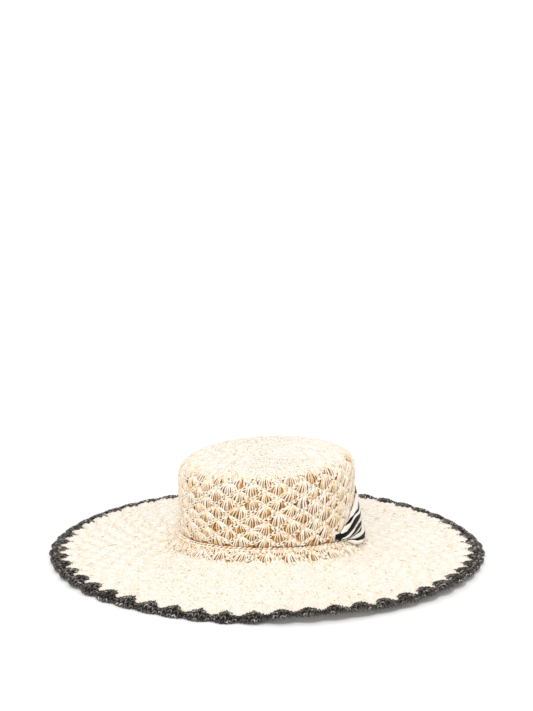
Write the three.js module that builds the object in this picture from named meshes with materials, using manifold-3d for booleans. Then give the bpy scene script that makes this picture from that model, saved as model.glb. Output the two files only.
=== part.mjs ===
import * as THREE from "three";
import { mergeVertices } from "three/addons/utils/BufferGeometryUtils.js";
import Module from "manifold-3d";

const wasm = await Module();
wasm.setup();

// A crocheted sun hat lying on a table. Sizes are millimetres and +Z is up. The origin is on the
// table under the middle of the brim. Headings are degrees from the front, -Y, towards +X.

const GAP = 0.3; // between neighbouring pieces
const FABRIC = 3.3; // thickness of the crocheted straw

// Crown
const CROWN_RADIUS = 94; // outside, where the wall meets the brim
const CROWN_TAPER = 0.8; // the wall leans in by this much towards the shoulder
const CROWN_HEIGHT = 110.6; // middle of the tip above the table
const SHOULDER = { radius: 44.5, sweep: 35.7 }; // shallow arc from the flat tip outwards
const TURN = { radius: 12.5, sweep: 54.3 }; // tight arc from the shoulder into the wall
const CROWN_LEAN = 0.05; // the tip rises towards +X by this much per millimetre
const CROWN_SHIFT = -0.6; // the tip stands off the brim's middle by this much along X
const JUNCTION_HEIGHT = 29.2; // middle height of the line where crown and brim meet
const JUNCTION_SWAY = 3.4; // that line is this much higher front and back, lower at the sides
const CROWN_SIDES = 60;
const WALL_ROWS = 2;
const ARC_ROWS = 3;

// Brim: upper surface from the crown outwards
const BRIM_ROWS = [
  { radius: 94, height: 28.9 },
  { radius: 101, height: 24.3 },
  { radius: 108, height: 19.9 },
  { radius: 116, height: 17.2 },
  { radius: 152, height: 14.2 },
  { radius: 184, height: 10.7 },
  { radius: 220.5, height: 6 },
];
const SWAY_REACH = 76; // the junction's sway dies out this far from the crown
const HEEL_DROP = 2.2; // depth of the brim's upright inner lip
const BRIM_RADIUS = 220.5;
const ZIGZAG_START = 184; // inside this radius the brim takes no part in the edging's zigzag

// Edging
const SHELLS = 52;
const EDGING_RADIUS = 231;
const EDGING_THICKNESS = 4.6;
const SPIKE = 7; // each shell's foot pokes this far into the brim
const NOTCH = 3.8; // depth of the dip between two scallops
const RUFFLE = 0.6; // the border rises and dips by this much, highest at the dips of the scallops
const EDGE_ROUND = 2.2;
const EDGING_FOOT = 2.4; // height of its underside at the brim
const EDGING_CREST = { out: 3, height: 6.6 }; // its upper face just past the brim

// Waves of the brim: how far the rim lifts off the table, by heading
const WAVE_POWER = 8; // the higher, the nearer the waves stay to the rim
const RIM_WAVES = [
  { heading: -100, lift: 0 },
  { heading: -60, lift: 2.5 },
  { heading: -42, lift: 0 },
  { heading: -10, lift: 0 },
  { heading: 8, lift: 7.8 },
  { heading: 20, lift: 7.8 },
  { heading: 31, lift: 5.2 },
  { heading: 52, lift: 6.8 },
  { heading: 94, lift: 0 },
  { heading: 126, lift: 0 },
  { heading: 165, lift: 1.6 },
  { heading: 200, lift: 0 },
  { heading: 260, lift: 0 },
];

// Scarf: each row is a station at a distance in degrees from the nearer eyelet
const EYELETS = [50.5, 246];
const EYELET_HEIGHT = 34.6;
const EYELET_RADIUS = 4;
const SCARF_ROWS = [
  { arc: 0, upper: 37.9, spill: -3.2, swell: 1.5 },
  { arc: 4.5, upper: 39.9, spill: 2, swell: 2.5 },
  { arc: 8.5, upper: 43.6, spill: 12, swell: 4 },
  { arc: 14, upper: 51.6, spill: 14, swell: 5 },
  { arc: 21.5, upper: 62.6, spill: 13, swell: 5 },
  { arc: 30, upper: 68.6, spill: 11.5, swell: 4.5 },
  { arc: 39.5, upper: 70.6, spill: 9, swell: 3.6 },
  { arc: 98, upper: 70.6, spill: 7, swell: 2.6 },
];
const SCARF_GAP = 0.5; // from the crown's and the brim's faceted surfaces
const SCARF_THICKNESS = 1.6;
const SCARF_FOLDS = 3; // soft lengthwise folds above the lowest roll
const FOLD_HEIGHT = 1;
const ROLL = { middle: 0.82, width: 0.17 }; // the lowest roll, as shares of the scarf's width
const SCARF_START = 1.6; // the band starts this many degrees past its eyelet
const SCARF_STATIONS = 46;
const SCARF_ACROSS = 12;
const HEM = 0.45; // the scarf's edges are this share of its thickness
const BRIM_SLOPE = 35; // under the scarf
const SEAT_BEND = 6; // the scarf turns from wall to brim over this far each side of the junction
const NECK_RADIUS = 3; // the gathered cloth in the eyelet
const NECK_PATH = [
  { out: 3.4, past: 5, rise: 0.5 }, // inside the band's end
  { out: 2.6, past: 1.6, rise: 0 },
  { out: -2, past: 0, rise: 0 }, // in the eyelet
];
const KNOT_RADIUS = 6; // the knot behind the eyelet

const FINISH = {
  crown: { color: "#ecdfc8", roughness: 0.8, metalness: 0 },
  brim: { color: "#f5ecdc", roughness: 0.8, metalness: 0 },
  edging: { color: "#534d48", roughness: 0.85, metalness: 0 },
  scarf: { color: "#d8d0bf", roughness: 0.7, metalness: 0 },
};

const radians = THREE.MathUtils.degToRad;
const clamp = THREE.MathUtils.clamp;
const lerp = THREE.MathUtils.lerp;

// Reads a column of a table at a place between its rows.
function readTable(rows, key, column, place) {
  const next = rows.findIndex((row) => row[key] >= place);
  if (next === 0) return rows[0][column];
  if (next < 0) return rows[rows.length - 1][column];
  const low = rows[next - 1];
  const high = rows[next];
  return lerp(low[column], high[column], (place - low[key]) / (high[key] - low[key]));
}

// Merges shared corners and drops the triangles that shrink to a line at the axis.
function weld(geometry) {
  geometry.deleteAttribute("normal");
  geometry.deleteAttribute("uv");
  const merged = mergeVertices(geometry, 1e-3);
  const corners = merged.index.array;
  const kept = [];
  for (let i = 0; i < corners.length; i += 3) {
    const [a, b, c] = [corners[i], corners[i + 1], corners[i + 2]];
    if (a !== b && b !== c && c !== a) kept.push(a, b, c);
  }
  merged.setIndex(kept);
  return merged;
}

// Moves every corner of a turned shape, given as its radius, heading and height.
function warp(geometry, move) {
  const place = geometry.attributes.position;
  for (let i = 0; i < place.count; i += 1) {
    const [x, y] = [place.getX(i), place.getY(i)];
    const moved = move(Math.hypot(x, y), Math.atan2(x, -y), place.getZ(i));
    place.setXYZ(i, moved.x, moved.y, moved.z);
  }
  return geometry;
}

function polar(radius, heading, height) {
  return new THREE.Vector3(radius * Math.sin(heading), -radius * Math.cos(heading), height);
}

// Spins a closed profile of (radius, height) points about Z.
function turned(profile, sides) {
  const points = profile.map(([radius, height]) => new THREE.Vector2(radius, height));
  return weld(new THREE.LatheGeometry(points, sides).rotateX(Math.PI / 2));
}

function toSolid(geometry) {
  const vertProperties = new Float32Array(geometry.attributes.position.array);
  const triVerts = new Uint32Array(geometry.index.array);
  return new wasm.Manifold(new wasm.Mesh({ numProp: 3, vertProperties, triVerts }));
}

function toGeometry(solid) {
  const mesh = solid.getMesh();
  const geometry = new THREE.BufferGeometry();
  geometry.setAttribute("position", new THREE.BufferAttribute(mesh.vertProperties, 3));
  geometry.setIndex(new THREE.BufferAttribute(mesh.triVerts, 1));
  return geometry;
}

// Height of the line where crown and brim meet.
function junction(heading) {
  return JUNCTION_HEIGHT + JUNCTION_SWAY * Math.cos(2 * heading);
}

function smooth(t) {
  const s = clamp(t, 0, 1);
  return s * s * (3 - 2 * s);
}

// How far the rim lifts off the table at a heading: smooth steps from row to row.
function rimLift(heading) {
  const start = RIM_WAVES[0].heading;
  const degrees = ((((THREE.MathUtils.radToDeg(heading) - start) % 360) + 360) % 360) + start;
  const next = RIM_WAVES.findIndex((row) => row.heading > degrees);
  if (next < 0) return RIM_WAVES[0].lift;
  const [low, high] = [RIM_WAVES[next - 1], RIM_WAVES[next]];
  const step = smooth((degrees - low.heading) / (high.heading - low.heading));
  return lerp(low.lift, high.lift, step);
}

// What the junction's sway and the waves add to the brim's height.
function brimRise(radius, heading) {
  const near = smooth(1 - (radius - CROWN_RADIUS) / SWAY_REACH);
  const sway = JUNCTION_SWAY * Math.cos(2 * heading) * near;
  const outward = clamp((radius - CROWN_RADIUS) / (EDGING_RADIUS - CROWN_RADIUS), 0, 1);
  return sway + rimLift(heading) * outward ** WAVE_POWER;
}

function brimTop(radius, heading) {
  return readTable(BRIM_ROWS, "radius", "height", radius) + brimRise(radius, heading);
}

// Position along a shell, 0 and 1 at its notches and 0.5 at its spike.
function alongShell(heading) {
  const turns = (heading / (2 * Math.PI)) * SHELLS;
  return turns - Math.floor(turns + 1e-6);
}

function zigzag(heading) {
  return -SPIKE * (1 - Math.abs(2 * alongShell(heading) - 1));
}

function scallop(heading) {
  const peak = Math.abs(Math.sin(Math.PI * alongShell(heading)));
  return -NOTCH * (1 - peak ** 0.6);
}

// Half profile of the crown's shell surface, from the axis to the foot of the wall.
function crownProfile(inset) {
  const top = CROWN_HEIGHT - inset;
  const wallTop = CROWN_RADIUS - CROWN_TAPER;
  const turnEnd = Math.sin(radians(SHOULDER.sweep));
  const flat = wallTop - TURN.radius * (1 - turnEnd) - SHOULDER.radius * turnEnd;
  const points = [[0, top], [flat, top]];
  const shoulder = SHOULDER.radius - inset;
  for (let row = 1; row <= ARC_ROWS; row += 1) {
    const angle = radians((SHOULDER.sweep * row) / ARC_ROWS);
    points.push([flat + shoulder * Math.sin(angle), top - shoulder * (1 - Math.cos(angle))]);
  }
  const turn = TURN.radius - inset;
  const [edge, drop] = points[points.length - 1];
  for (let row = 1; row <= ARC_ROWS; row += 1) {
    const angle = radians(SHOULDER.sweep + (TURN.sweep * row) / ARC_ROWS);
    const out = turn * (Math.sin(angle) - turnEnd);
    points.push([edge + out, drop - turn * (Math.cos(radians(SHOULDER.sweep)) - Math.cos(angle))]);
  }
  const [, wallHeight] = points[points.length - 1];
  for (let row = 1; row <= WALL_ROWS; row += 1) {
    const down = row / WALL_ROWS;
    const radius = lerp(wallTop - inset, CROWN_RADIUS - inset, down);
    points.push([radius, lerp(wallHeight, JUNCTION_HEIGHT, down)]);
  }
  return points;
}

// The foot of the wall follows the junction line, and the tip leans and stands off the middle.
function shapeCrown(radius, heading, height) {
  const bend = SHOULDER.radius * (1 - Math.cos(radians(SHOULDER.sweep))) + TURN.radius;
  const up = clamp((height - JUNCTION_HEIGHT) / (CROWN_HEIGHT - bend - JUNCTION_HEIGHT), 0, 1);
  const corner = polar(radius, heading, height);
  corner.z += (1 - up) * (junction(heading) - JUNCTION_HEIGHT) + up * CROWN_LEAN * corner.x;
  corner.x += up * CROWN_SHIFT;
  return corner;
}

function eyeletDrill(degrees) {
  const drill = new THREE.CylinderGeometry(EYELET_RADIUS, EYELET_RADIUS, 20, 16);
  const middle = polar(CROWN_RADIUS, radians(degrees), EYELET_HEIGHT);
  drill.rotateZ(Math.PI / 2).rotateZ(radians(degrees - 90)).translate(middle.x, middle.y, middle.z);
  return toSolid(weld(drill));
}

function makeCrown() {
  const outer = crownProfile(0);
  const inner = crownProfile(FABRIC);
  const shell = warp(turned([...inner, ...outer.reverse()], CROWN_SIDES), shapeCrown);
  let solid = toSolid(shell);
  for (const degrees of EYELETS) solid = solid.subtract(eyeletDrill(degrees));
  return toGeometry(solid);
}

// The brim's section: along the upper surface, back along the lower one, and up the inner lip.
function makeBrim() {
  const upper = BRIM_ROWS.map((row) => [row.radius, row.height]);
  const lower = BRIM_ROWS.map((row, i) => {
    const before = BRIM_ROWS[Math.max(i - 1, 0)];
    const after = BRIM_ROWS[Math.min(i + 1, BRIM_ROWS.length - 1)];
    const slope = Math.atan2(before.height - after.height, after.radius - before.radius);
    const last = i === BRIM_ROWS.length - 1;
    const inward = last ? 0 : FABRIC * Math.sin(slope);
    return [row.radius - inward, row.height - FABRIC * Math.cos(slope)];
  });
  const innerWall = CROWN_RADIUS - FABRIC;
  const lip = [[innerWall, BRIM_ROWS[0].height], [innerWall, BRIM_ROWS[0].height - HEEL_DROP]];
  const section = [...lip, ...lower, ...upper.reverse()];
  section.push(section[0]);
  return warp(turned(section, 2 * SHELLS), (radius, heading, height) => {
    const edge = smooth((radius - ZIGZAG_START) / (BRIM_RADIUS - ZIGZAG_START));
    return polar(radius + edge * zigzag(heading), heading, height + brimRise(radius, heading));
  });
}

// The border's section is a rounded strip that leans down towards its outer edge.
function makeEdging() {
  const start = BRIM_RADIUS + 1.5 * GAP;
  const strip = [
    [start, EDGING_FOOT],
    [EDGING_RADIUS - EDGE_ROUND, 0],
    [EDGING_RADIUS, EDGING_THICKNESS / 2],
    [EDGING_RADIUS - EDGE_ROUND, EDGING_THICKNESS],
    [start + EDGING_CREST.out, EDGING_CREST.height],
    [start, EDGING_FOOT + EDGING_THICKNESS],
    [start, EDGING_FOOT],
  ];
  return warp(turned(strip, 4 * SHELLS), (radius, heading, height) => {
    const out = clamp((radius - start) / (EDGING_RADIUS - EDGE_ROUND - start), 0, 1);
    const reach = radius + lerp(zigzag(heading), scallop(heading), out);
    const wave = RUFFLE * out * (1 + Math.cos(2 * Math.PI * alongShell(heading)));
    return polar(reach, heading, height + wave + brimRise(radius, heading));
  });
}

// A point on the crown's wall or on the brim, at a distance past the junction line. Distances up
// the wall are negative. Lift is measured square to the surface there.
function seatPoint(heading, past, lift) {
  const onBrim = past > 0;
  const radius = CROWN_RADIUS + SCARF_GAP + (onBrim ? past * Math.cos(radians(BRIM_SLOPE)) : 0);
  const height = onBrim ? brimTop(radius, heading) + SCARF_GAP : junction(heading) - past;
  const tilt = radians(90 - BRIM_SLOPE) * smooth((past / SEAT_BEND + 1) / 2);
  return polar(radius + lift * Math.cos(tilt), heading, height + lift * Math.sin(tilt));
}

// How far the scarf's outer face stands off its back, across from 0 at the top to 1 at the foot.
function scarfDepth(across, swell) {
  const fold = FOLD_HEIGHT * Math.sin(Math.PI * SCARF_FOLDS * across) ** 2 * smooth((1 - across) * 4);
  const roll = swell * Math.exp(-(((across - ROLL.middle) / ROLL.width) ** 2));
  const hem = lerp(HEM, 1, smooth(Math.min(across, 1 - across) * SCARF_ACROSS));
  return (SCARF_THICKNESS + fold + roll) * hem;
}

function scarfPoint(along, across, outside) {
  const degrees = lerp(EYELETS[0] + SCARF_START, EYELETS[1] - SCARF_START, along);
  const arc = Math.min(degrees - EYELETS[0], EYELETS[1] - degrees);
  const read = (column) => readTable(SCARF_ROWS, "arc", column, arc);
  const heading = radians(degrees);
  const past = lerp(junction(heading) - read("upper"), read("spill"), across);
  return seatPoint(heading, past, outside ? scarfDepth(across, read("swell")) : 0);
}

function scarfBand() {
  const sheet = weld(new THREE.BoxGeometry(1, 1, 1, SCARF_STATIONS, SCARF_ACROSS, 1));
  const place = sheet.attributes.position;
  for (let i = 0; i < place.count; i += 1) {
    const point = scarfPoint(place.getX(i) + 0.5, 0.5 - place.getY(i), place.getZ(i) > 0);
    place.setXYZ(i, point.x, point.y, point.z);
  }
  return toSolid(sheet);
}

// The gathered cloth turns out of the band, passes the eyelet and ends in a knot inside.
function scarfNeck(degrees, side) {
  const middle = polar(CROWN_RADIUS - FABRIC - KNOT_RADIUS - GAP, radians(degrees), EYELET_HEIGHT);
  const outside = NECK_PATH.map((row) => {
    const heading = radians(degrees + side * row.past);
    return polar(CROWN_RADIUS + row.out, heading, EYELET_HEIGHT + row.rise);
  });
  const path = new THREE.CatmullRomCurve3([...outside, middle]);
  const section = new THREE.Shape().absarc(0, 0, NECK_RADIUS, 0, 2 * Math.PI);
  const tube = { steps: 8, curveSegments: 4, extrudePath: path };
  const knot = new THREE.SphereGeometry(KNOT_RADIUS, 10, 8);
  knot.rotateX(Math.PI / 2).translate(middle.x, middle.y, middle.z);
  return toSolid(weld(new THREE.ExtrudeGeometry(section, tube))).add(toSolid(weld(knot)));
}

function makeScarf() {
  const ends = [scarfNeck(EYELETS[0], 1), scarfNeck(EYELETS[1], -1)];
  return toGeometry(ends.reduce((cloth, end) => cloth.add(end), scarfBand()));
}

function piece(name, geometry) {
  const mesh = new THREE.Mesh(geometry, new THREE.MeshStandardMaterial(FINISH[name]));
  mesh.name = name;
  return mesh;
}

const group = new THREE.Group();
group.name = "sun_hat";
group.add(piece("crown", makeCrown()));
group.add(piece("brim", makeBrim()));
group.add(piece("edging", makeEdging()));
group.add(piece("scarf", makeScarf()));

export default group;
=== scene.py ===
import math
import random

import bmesh
import bpy
from mathutils import Matrix, Vector


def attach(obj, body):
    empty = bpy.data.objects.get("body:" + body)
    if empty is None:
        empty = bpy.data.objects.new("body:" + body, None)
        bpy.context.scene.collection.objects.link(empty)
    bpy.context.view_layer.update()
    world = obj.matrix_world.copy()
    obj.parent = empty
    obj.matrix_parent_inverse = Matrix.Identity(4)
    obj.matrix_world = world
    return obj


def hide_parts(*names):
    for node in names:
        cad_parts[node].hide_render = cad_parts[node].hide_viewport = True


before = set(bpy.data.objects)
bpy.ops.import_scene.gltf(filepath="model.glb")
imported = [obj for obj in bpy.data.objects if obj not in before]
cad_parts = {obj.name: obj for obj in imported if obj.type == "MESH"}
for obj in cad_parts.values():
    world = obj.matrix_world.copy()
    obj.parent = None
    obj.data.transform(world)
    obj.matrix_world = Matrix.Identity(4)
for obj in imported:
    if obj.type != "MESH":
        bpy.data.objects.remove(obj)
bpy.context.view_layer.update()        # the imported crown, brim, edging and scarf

# A crocheted raffia sun hat. Sizes are in millimetres until a mesh is made, which turns them to
# metres. Headings go from the front of the hat, -Y, towards +X, in degrees in the tables and in
# radians in the functions. A run is a distance in millimetres along the cloth: from the middle of the
# tip on the crown, and from the crown's foot on the brim. A lift is a height over the middle of the
# cloth, square to it. A shade goes from 0 for the lightest strand to 1 for the darkest.
MM = 0.001
FABRIC = 3.3

# Crown
CROWN_RADIUS = 94.0
CROWN_TAPER = 0.8
CROWN_HEIGHT = 110.6
SHOULDER_RADIUS, SHOULDER_SWEEP = 44.5, math.radians(35.7)
TURN_RADIUS = 12.5
CROWN_LEAN = 0.05
CROWN_SHIFT = -0.6
JUNCTION_HEIGHT, JUNCTION_SWAY = 29.2, 3.4      # the crown's foot, higher at the front and the back

# Middle of the brim's and the edging's cloth
BRIM_ROWS = [
    dict(radius=92.5, height=28.4),
    dict(radius=94, height=27.25),
    dict(radius=101, height=22.65),
    dict(radius=108, height=18.25),
    dict(radius=116, height=15.55),
    dict(radius=152, height=12.55),
    dict(radius=184, height=9.05),
    dict(radius=220.5, height=4.5),
    dict(radius=231, height=2.3),
]
SWAY_REACH = 76.0               # how far out the brim follows the sway of the crown's foot
EDGING_RADIUS = 231.0
WAVE_POWER = 8                  # the higher, the nearer the waves stay to the rim
RIM_WAVES = [
    dict(heading=-100, lift=0.0),
    dict(heading=-60, lift=2.5),
    dict(heading=-42, lift=0.0),
    dict(heading=-10, lift=0.0),
    dict(heading=8, lift=7.8),
    dict(heading=20, lift=7.8),
    dict(heading=31, lift=5.2),
    dict(heading=52, lift=6.8),
    dict(heading=94, lift=0.0),
    dict(heading=126, lift=0.0),
    dict(heading=165, lift=1.6),
    dict(heading=200, lift=0.0),
    dict(heading=260, lift=0.0),
]

# Crochet: rounds of shells. A shell is a fan of posts that hangs from a cusp of the round before and
# ends in a scallop, along which a plaited chain runs.
ROW_PITCH = 8.5
FIRST_RUN = 1.0                 # where the first round of the crown and of the brim starts
CROWN_SHELLS = [6, 6] + [11] * 4 + [22] * 13
BRIM_SHELLS = [26, 26, 30, 30, 34, 34, 38, 38, 42, 42, 46, 46, 52, 52]
RIM_SHELLS = 52
SCALLOP = 0.27                  # depth of a scallop as a share of its width
SCALLOP_POWER = 0.85            # below 1, a scallop is broad at its lowest point
ARC_SKEW = 0.7                  # below 1, that point lies left of its middle
# Waves round the hat in which the cusps wander from their row: how far, how many, and how far they
# turn with each millimetre of run
CUSP_WAVES = [
    dict(reach=1.0, number=3, turn=2.1),
    dict(reach=0.7, number=8, turn=1.3),
]
POST_PITCH, LOOP_PITCH = 3.3, 4.2       # width of one post and of one loop of the chain, on the wall
PALE_PITCH = 4.9                # width of either in a pale round
FEWEST, MOST = 3, 9             # posts of a shell, or loops of its chain
DROPPED, TANNED = 0.018, 0.06   # shares of the wall's posts that are missing, and of darker fibre
TANNED_SHADES = (0.5, 0.9)
CROWN_SHADES, BRIM_SHADES = (0.0, 0.62), (0.0, 0.45)
# Shares of their lift and shade that strands keep in a pale round; the cut in shade is painted light
PALE_LIFT, PAINTED_LIGHT_SHADE = 0.3, 0.1
# Where the pale rounds fade: past the flat of the tip, and past the crown's foot
TIP_FADE, BRIM_FADE = (10, 32), (12, 30)
WALL_STOP = 0.6                 # the wall's last round ends this far from the crown's foot
# A post: how far along it, how far out to its own side, lift and radius
POST_POINTS = [
    dict(along=0.0, out=0.16, lift=0.3, radius=0.72),
    dict(along=0.14, out=0.44, lift=0.9, radius=0.9),
    dict(along=0.34, out=0.74, lift=0.9, radius=0.94),
    dict(along=0.58, out=0.94, lift=0.3, radius=0.92),
    dict(along=0.8, out=1.03, lift=-0.1, radius=0.98),
    dict(along=1.0, out=1.05, lift=-0.3, radius=1.1),
]
DOME = 0.5                      # how far the middle of a fan stands out
FAN_SPREAD = 0.84               # width of a fan as a share of its shell
POST_FILL = 0.8 / 3.05          # a post's gauge by its pitch
POST_TUCK, POST_STOP = 0.6, 0.4         # a post starts past the chain above and stops before its own
SHORTEST_POST = 1.0
# How posts differ: a fan's width, its lean, and a post's place across it, its gauge and its lift
SPREAD_RANGE, LEAN = (0.88, 1.06), 0.15
POST_STRAY, POST_RANGE, POST_SINK = 0.03, (0.8, 1.15), 0.25
# A leg of the chain: how far along its loop, how far out to its own side, lift and radius
CHAIN_LEG = [
    dict(along=0.0, out=0.15, lift=-0.2, radius=0.55),
    dict(along=0.45, out=0.85, lift=0.7, radius=0.85),
    dict(along=1.0, out=1.5, lift=-0.1, radius=0.5),
]
CHAIN_GAUGE = 1.15
CHAIN_RANGE, CHAIN_STRAY = (0.82, 1.15), 0.3    # how loops differ in gauge and in place
CHAIN_LIFT, PALE_CHAIN_LIFT = 0.5, 0.1
PAINTED_LIGHT_CHAIN_SHADE = 0.3               # a chain's darkest shade as a share of its posts': the raised chain is painted light
LEG_SHADE = 0.1                 # what its legs are darker than their loop, on the whole
CORD_SIDES = 6
SHADES = 16                     # steps from the lightest strand to the darkest

# Thin sheets under the stitches. Those on the wall, at the crown's foot and under the edging are dark:
# painted shade
GROUND_THICK, GROUND_STEPS = 0.7, 120
POLE = 0.001                    # how far a sheet's first ring stays from the middle of the tip
TIP_GROUND_END = 22             # past the flat of the tip
WALL_GROUND_END, BRIM_GROUND_START = 1.5, 18.0  # past the crown's foot
EDGING_GROUND = (0.06, 0.94)    # shares of the way out on the shells

# Rope at the crown's foot: a chain in the corner and one outside it, each over a darker core, painted
# shade
CORNER_IN, CORNER_DROP, CORNER_SLOPE = 0.2, 1.0, 0.6
RIDGE_RUN, RIDGE_LIFT = 4.6, 0.9
CORNER_CHAIN = dict(loops=112, gauge=1.15, core=1.7, sunk=1.2, shade=0.9)
RIDGE_CHAIN = dict(loops=108, gauge=1.3, core=1.4, sunk=0.6, shade=1.0)
RIB_SHADES = (0.0, 0.3)
RIB_STEPS = 180

# Short darker fibres on the pale rounds: how many, and from which run to which
BRIM_FIBRES, BRIM_FIBRES_START = 800, 20.0
TIP_FIBRES, TIP_FIBRES_START, TIP_FIBRES_END = 180, 2.0, 30     # the end is past the flat of the tip
FIBRE_LENGTHS, FIBRE_SLANT, FIBRE_LIFT = (1.5, 5.5), 0.5, 1.15
FIBRE_SHADES = (0.2, 0.6)
FIBRE_POINTS = [
    dict(along=-0.5, radius=0.2),
    dict(along=0.0, radius=0.55),
    dict(along=0.5, radius=0.2),
]

# Edging: each shell is a puffed cluster of V stitches that widens from its foot to its scalloped edge
FOOT_RADIUS, NECK_RADIUS = 211.0, 219.5
FOOT_POWER = 1.3                # the higher, the blunter a shell's foot
RIM_WIDE = 2 * math.pi / RIM_SHELLS
SCALLOP_IN = 0.6                # the scallops' tips lie this far inside the edging's radius
NOTCH = 3.8                     # depth of the dip between two scallops
RUFFLE = 0.6                    # how far the edge waves up and down from shell to shell
PUFF, NECK_PUFF = 3.2, 0.45     # how far the middle of a shell and the neck between two stand up
PUFF_FULL, PUFF_FALL = 0.35, 0.6        # shares of the way out where the puff is full and falls off
EDGE_TURN, EDGE_DROP = 0.2, 12.0        # past the scallops, a lift turns outwards and the cloth drops
# How far shells differ from each other at their foot, at their edge and in their puff
UNEVEN_FOOT, UNEVEN_EDGE, UNEVEN_PUFF = 1.2, 0.96, 0.96
SPIKE = 3.2                     # length of the two strands that reach in from the foot of a shell
SPIKE_OPEN, SPIKE_LIFT = 0.03, 1.0
SPIKE_POINTS = [
    dict(along=0.0, radius=0.25),
    dict(along=0.5, radius=0.4),
    dict(along=1.2, radius=0.6),
]
SHELL_ROWS = [
    dict(out=0.0, reach=0.27, stitches=3),
    dict(out=0.30, reach=0.42, stitches=4),
    dict(out=0.61, reach=0.52, stitches=5),
    dict(out=0.93, reach=0.48, stitches=5),
]
ROW_DEPTH = 0.33
STITCH_STRAY, ROW_STRAY = 0.15, 0.04
# On the charcoal yarn higher shades are lighter; the lightest legs are painted highlights
STITCH_SHADES, LEG_SHADES = (0.1, 0.7), (0.0, 0.3)
SPIKE_SHADES, HEM_SHADES = (0.1, 0.4), (0.0, 0.5)
# A leg of a V stitch: how far along it, how far out to its own side, lift and radius
STITCH_LEG = [
    dict(along=0.0, out=0.06, lift=0.0, radius=0.55),
    dict(along=0.5, out=0.3, lift=1.3, radius=0.72),
    dict(along=1.0, out=0.44, lift=0.2, radius=0.5),
]
HEM_OUT, HEM_SINK = 0.96, 2.1   # place of the chain under the scallops
HEM_LOOPS, HEM_GAUGE = 7, 0.8   # loops of it under each shell

# Scarf
EYELETS = (50.5, 246.0)
EYELET_HEIGHT = 34.6
EYELET_RADIUS, EYELET_CLEAR = 4.0, 0.8  # strands stay this clear of an eyelet
# The band by degrees from its nearer eyelet: height of its upper edge, how far above the crown's foot
# its part on the wall ends, reach and radius of its rolled lobe on the brim, and how far it swells
SCARF_ROWS = [
    dict(arc=0, upper=37.6, foot=4.0, spill=-3.4, roll=0.5, swell=-0.3),
    dict(arc=2.5, upper=37.4, foot=3.4, spill=-2.2, roll=0.6, swell=0.9),
    dict(arc=4.7, upper=39.3, foot=2.4, spill=-0.6, roll=1.2, swell=2.6),
    dict(arc=7.7, upper=42.3, foot=1.8, spill=1.8, roll=1.8, swell=3.4),
    dict(arc=9.5, upper=43.6, foot=1.5, spill=4.8, roll=2.4, swell=3.4),
    dict(arc=12.5, upper=46.2, foot=1.5, spill=11.5, roll=3.4, swell=3.2),
    dict(arc=16.3, upper=51.3, foot=1.5, spill=13.5, roll=4.0, swell=3.6),
    dict(arc=21.2, upper=57.1, foot=1.5, spill=13.2, roll=4.0, swell=3.8),
    dict(arc=25, upper=60.6, foot=1.5, spill=11.5, roll=3.6, swell=4.4),
    dict(arc=30, upper=64.0, foot=1.5, spill=10.5, roll=3.4, swell=5.0),
    dict(arc=39.5, upper=70.6, foot=1.5, spill=8, roll=3.0, swell=5.2),
    dict(arc=98, upper=70.6, foot=1.5, spill=6, roll=2.6, swell=3.0),
]
SCARF_START = -1.8              # degrees from an eyelet to the band's end, which covers it
SCARF_GRID = (200, 64)          # steps along and across the cloth
SCARF_CROWD = 0.7               # how much the steps along crowd towards the eyelets
SCARF_THICK = 0.5
# Shares across the cloth where its part on the wall ends and where its lobe on the brim starts
SCARF_FOOT, SCARF_LOBE = 0.7, 0.76
LOBE_TURN = (150, -60)          # the lobe's roll, in degrees up from straight out
WALL_CLEAR, BRIM_CLEAR = 0.3, 2.0       # from the wall's outside and from the brim's middle
CLOTH_LIFT = 0.2                # the least that the cloth stands off on the wall
SEAT_REACH = 6.0                # how far from the junction the cloth turns from the wall to the brim
BRIM_SLOPE = math.radians(35)   # the brim's slope where the lobe lies on it
PLEATS, PLEAT_HEIGHT, PLEAT_START = 3, 1.1, 8   # the pleats grow over the first 8 degrees
# How soon the cloth swells, from a least share, and how soon it rises from its upper edge
LEAST_SWELL, SWELL_STEEPNESS, EDGE_STEEPNESS = 0.15, 1.4, 6
KNOT_RADIUS, KNOT_CREASE = 6.0, 0.4
KNOT_CREASES, KNOT_TWIST = 9, 4
KNOT_STRIPE, KNOT_TILT = 4.5, 0.4       # pitch and tilt of the print on a knot
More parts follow.
